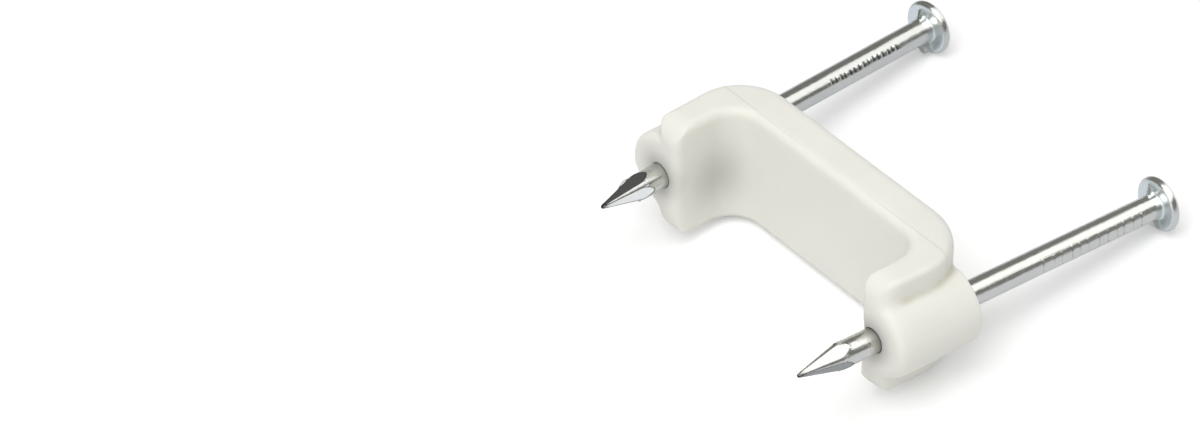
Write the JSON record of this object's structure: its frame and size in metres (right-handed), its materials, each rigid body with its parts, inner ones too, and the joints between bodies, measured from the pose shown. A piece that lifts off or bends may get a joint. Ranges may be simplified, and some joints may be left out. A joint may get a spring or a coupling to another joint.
{
  "type": "nail-in cable clip",
  "caption": "Moulded plastic saddle clip that straddles a flat cable, fixed to a wall by a steel nail pressed through the round boss on each side.",
  "frame": {"origin": "on the wall plane that the feet meet, midway between the nails, at the side of the saddle that the clip lies on", "axes": "+X from the left boss to the right boss, +Y from the wall towards the nail heads, +Z along the cable"},
  "size_m": [0.0322, 0.036, 0.0107],
  "materials": {
    "plastic": "satin",
    "zinc": "bright zinc plating"
  },
  "bodies": {
    "root": {"saddle": "plastic", "nail_left": "zinc", "nail_right": "zinc"}
  },
  "joints": []
}
